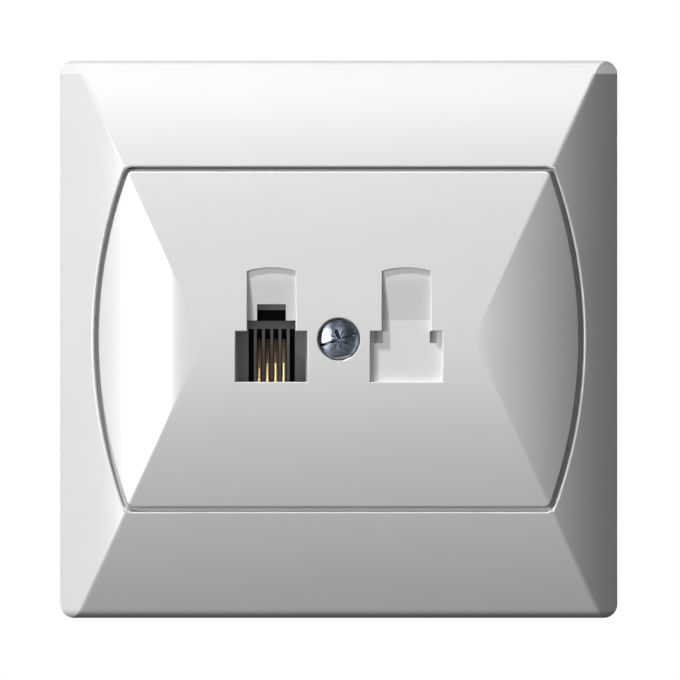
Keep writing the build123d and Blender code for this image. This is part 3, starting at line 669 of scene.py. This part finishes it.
def solder():
    """Bright tin with a wrinkled skin."""
    finish = Finish("bright_solder")
    skin = finish.noise(0.5 * MM, 3.0)
    return finish.set(
        Base_Color=finish.mix(skin, (0.60, 0.61, 0.62), (0.78, 0.78, 0.77)),
        Metallic=1.0,
        Roughness=0.18 + skin * 0.2,
        Normal=finish.bump(skin, 0.02 * MM),
    )


wire_boxes = [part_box(f"contact_wire_{number}") for number in range(1, 5)]
wire_lanes = [(low.x + high.x) / 2 for low, high in wire_boxes]
wire_row = wire_boxes[0][0].z + WIRE_DIAMETER / 2

# Finishes of the CAD nodes, by how their names start; all other nodes are zinc plated
zinc = plated("zinc_plated_steel", (0.52, 0.56, 0.62), (0.62, 0.65, 0.69), 0.24)
sheet = plated("zinc_plated_sheet", (0.55, 0.56, 0.57), (0.66, 0.66, 0.65), 0.3, (0.08, 1, 1))
brass = plated("turned_brass", (0.62, 0.44, 0.17), (0.74, 0.56, 0.25), 0.26)
pale = simple_plastic("pale_base_plastic", (0.50, 0.50, 0.48), (0.56, 0.56, 0.54), 0.42)
grey = simple_plastic("grey_terminal_plastic", (0.11, 0.125, 0.13), (0.14, 0.15, 0.155), 0.4)
finishes = (
    (("outer_frame", "centre_plate"), gloss_white()),
    (("mounting_ring", "claw_left", "claw_right"), sheet),
    (("screw_bush", "terminal_clamp"), brass),
    (("contact_wire",), contact_gold()),
    (("cover_screw",), blue_zinc_head()),
    (("jack_housing",), jack_plastic()),
    (("mechanism_base",), pale),
    (("terminal_block",), grey),
    (("circuit_board",), lacquered_board()),
)
for name, node in nodes.items():
    chosen = next((finish for starts, finish in finishes if name.startswith(starts)), zinc)
    node.data.materials.clear()
    node.data.materials.append(chosen)


def merged_copy(name):
    """A copy of a CAD node's mesh, and the same as a bmesh whose loose triangles are joined."""
    mesh = nodes[name].data.copy()
    work = bmesh.new()
    work.from_mesh(mesh)
    bmesh.ops.remove_doubles(work, verts=work.verts, dist=MERGED)
    return mesh, work


def shaded_piece(name, mesh, work):
    """The piece that a shaped bmesh makes, smooth but for its sharp edges."""
    work.to_mesh(mesh)
    work.free()
    mesh.shade_smooth()
    mesh.set_sharp_from_angle(angle=SHARP)
    return placed(name, mesh)


def crisp_screw():
    """The cover screw with the narrow slot and the almost sharp rim that the photograph shows."""
    mesh, work = merged_copy("cover_screw")
    for vertex in work.verts:
        x, y, z = vertex.co
        depth = y + HEAD_TOP
        if depth > CROSS_DEPTH + 0.05 * MM:
            continue
        along, across = turned(x, z, SLOT_TURN)
        old_radius = radius = hypot(along, across)
        on_rim = old_radius > HEAD_RADIUS - HEAD_ROUNDING - NEAR
        if on_rim and depth < HEAD_ROUNDING + NEAR:
            radius = HEAD_RADIUS - (HEAD_RADIUS - old_radius) * RIM_ROUNDING / HEAD_ROUNDING
            depth *= RIM_ROUNDING / HEAD_ROUNDING
        if abs(across) < SLOT_HALF_WIDTH + NEAR:
            across = SLOT_SHIFT + across * SLOT_SHRINK
            if on_rim:
                along = copysign(sqrt(radius**2 - across**2), along)
        elif on_rim:
            along, across = along * radius / old_radius, across * radius / old_radius
        x, z = turned(along, across, -SLOT_TURN)
        vertex.co = (x, depth - HEAD_TOP, z)
    bmesh.ops.recalc_face_normals(work, faces=work.faces)
    piece = shaded_piece("crisp_cover_screw", mesh, work)
    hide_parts("cover_screw")
    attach(piece, "socket")


def threaded_screws():
    """The claw screws with a helical thread over a slimmer core, in place of their plain shanks."""
    for name in ("claw_screw_left", "claw_screw_right"):
        low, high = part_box(name)
        middle = (low.x + high.x) / 2
        growth = Growth(
            f"{name}_thread",
            radius=THREAD_RADIUS - RIDGE,
            pitch=THREAD_PITCH,
            length=THREAD_LENGTH,
            ridge=RIDGE,
        )
        helix = growth.node(
            "GeometryNodeCurveSpiral",
            Resolution=THREAD_POINTS,
            Rotations=growth.length / growth.pitch,
            Start_Radius=growth.radius,
            End_Radius=growth.radius,
            Height=growth.length,
        )["Curve"]
        profile = growth.node(
            "GeometryNodeCurvePrimitiveCircle", Resolution=4, Radius=growth.ridge
        )["Curve"]
        coil = growth.node(
            "GeometryNodeCurveToMesh", Curve=helix, Profile_Curve=profile, Fill_Caps=True
        )["Mesh"]
        laid = growth.node(
            "GeometryNodeTransform",
            Geometry=coil,
            Translation=(middle, high.y - THREAD_START, 0),
            Rotation=(-pi / 2, 0, 0),
        )["Geometry"]
        thread = growth.harvest(laid, zinc)
        mesh, work = merged_copy(name)
        for vertex in work.verts:
            out_x, out_z = vertex.co.x - middle, vertex.co.z
            if abs(hypot(out_x, out_z) - THREAD_RADIUS) < 0.01 * MM:
                vertex.co.x = middle + out_x * CORE_SHARE
                vertex.co.z = out_z * CORE_SHARE
        bmesh.ops.recalc_face_normals(work, faces=work.faces)
        work.from_mesh(thread)
        piece = shaded_piece(f"threaded_{name}", mesh, work)
        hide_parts(name)
        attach(piece, name)


def solder_joints():
    """A cone of solder round each of the four wire tails, on the back of the board."""
    growth = Growth(
        "solder_joints",
        foot=SOLDER_FOOT,
        tip=SOLDER_TIP,
        height=SOLDER_HEIGHT,
        spacing=wire_lanes[1] - wire_lanes[0],
    )
    row = growth.node(
        "GeometryNodeMeshLine",
        Count=len(wire_lanes),
        Start_Location=(wire_lanes[0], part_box("circuit_board")[1].y, wire_row),
        Offset=growth.join(growth.spacing, 0.0, 0.0),
    )["Mesh"]
    cone = growth.node(
        "GeometryNodeMeshCone",
        Vertices=SOLDER_CORNERS,
        Side_Segments=SOLDER_RINGS,
        Radius_Top=growth.tip,
        Radius_Bottom=growth.foot,
        Depth=growth.height,
    )["Mesh"]
    x, y, z = growth.split(growth.node("GeometryNodeInputPosition")["Position"])
    up = z / growth.height
    waist = 1 - up * (1 - up) * SOLDER_SINK
    hollow = growth.node(
        "GeometryNodeSetPosition", Geometry=cone, Position=growth.join(x * waist, y * waist, z)
    )["Geometry"]
    laid = growth.node("GeometryNodeTransform", Geometry=hollow, Rotation=(-pi / 2, 0, 0))
    spread = growth.node("GeometryNodeInstanceOnPoints", Points=row, Instance=laid["Geometry"])
    mesh = growth.harvest(spread["Instances"], solder())
    mesh.shade_smooth()
    piece = placed("solder_joints", mesh)
    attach(piece, "socket")


def soft_box(name, azimuth, elevation, distance, width, height, power):
    """A lamp with a rectangular face, aimed at the object; azimuth is to the camera's right."""
    data = bpy.data.lights.new(name, "AREA")
    data.shape = "RECTANGLE"
    data.size = width
    data.size_y = height
    data.energy = power
    lamp = placed(name, data)
    a, e = radians(azimuth), radians(elevation)
    towards = Vector((sin(a) * cos(e), -cos(a) * cos(e), sin(e)))
    lamp.rotation_mode = "QUATERNION"
    lamp.rotation_quaternion = towards.to_track_quat("Z", "Y")
    lamp.location = towards * distance


def surroundings():
    """White behind the object, a dim grey studio in front, and a pale floor well below."""
    world = bpy.data.worlds.new("studio")
    bpy.context.scene.world = world
    world.use_nodes = True
    world.node_tree.nodes.clear()
    studio = Graph(world.node_tree)
    ray = studio.node("ShaderNodeLightPath")
    shown = largest(ray["Is Camera Ray"], ray["Is Transmission Ray"])
    mirrored = ray["Is Glossy Ray"] * (MIRRORED_STUDIO - AMBIENT)
    strength = AMBIENT + shown * (1.0 - AMBIENT) + mirrored
    light = studio.node("ShaderNodeBackground", Color=(1, 1, 1, 1), Strength=strength)
    studio.node("ShaderNodeOutputWorld", Surface=light["Background"])

    mesh = bpy.data.meshes.new("floor")
    half = FLOOR_SIZE / 2
    corners = ((-half, -half), (half, -half), (half, half), (-half, half))
    mesh.from_pydata([(x, y, FLOOR_Z) for x, y in corners], [], [(0, 1, 2, 3)])
    floor = placed("floor", mesh)
    finish = Finish("pale_floor")
    ray = finish.node("ShaderNodeLightPath")
    glimpsed = ray["Is Glossy Ray"] * FLOOR_MIRRORED
    shown = largest(ray["Is Camera Ray"], glimpsed, ray["Is Transmission Ray"])
    finish.set(
        Base_Color=finish.mix(shown, FLOOR_UNSEEN, FLOOR_SEEN),
        Roughness=0.9,
        Emission_Color=finish.mix(shown, (0.0, 0.0, 0.0), FLOOR_GLOW),
        Emission_Strength=1.0,
    )
    mesh.materials.append(finish.material)


def straight_camera():
    """The camera in front of the object, where its outline has the photograph's size and place."""
    distance = PHOTO_SIZE * FOCAL_LENGTH / (SENSOR_WIDTH * PHOTO_SCALE)
    data = bpy.data.cameras.new("camera")
    data.sensor_width = SENSOR_WIDTH
    data.lens = FOCAL_LENGTH
    camera = placed("camera", data)
    aside = (PHOTO_SIZE / 2 - PHOTO_MIDDLE[0]) / PHOTO_SCALE
    above = (PHOTO_MIDDLE[1] - PHOTO_SIZE / 2) / PHOTO_SCALE
    camera.location = (aside, -OUTLINE_HEIGHT - distance, above)
    camera.rotation_euler = (pi / 2, 0, 0)
    bpy.context.scene.camera = camera


crisp_screw()
threaded_screws()
solder_joints()
straight_camera()
surroundings()
for lamp_name, measures in LAMPS.items():
    soft_box(lamp_name, *measures)

bpy.context.scene.view_settings.view_transform = "Standard"
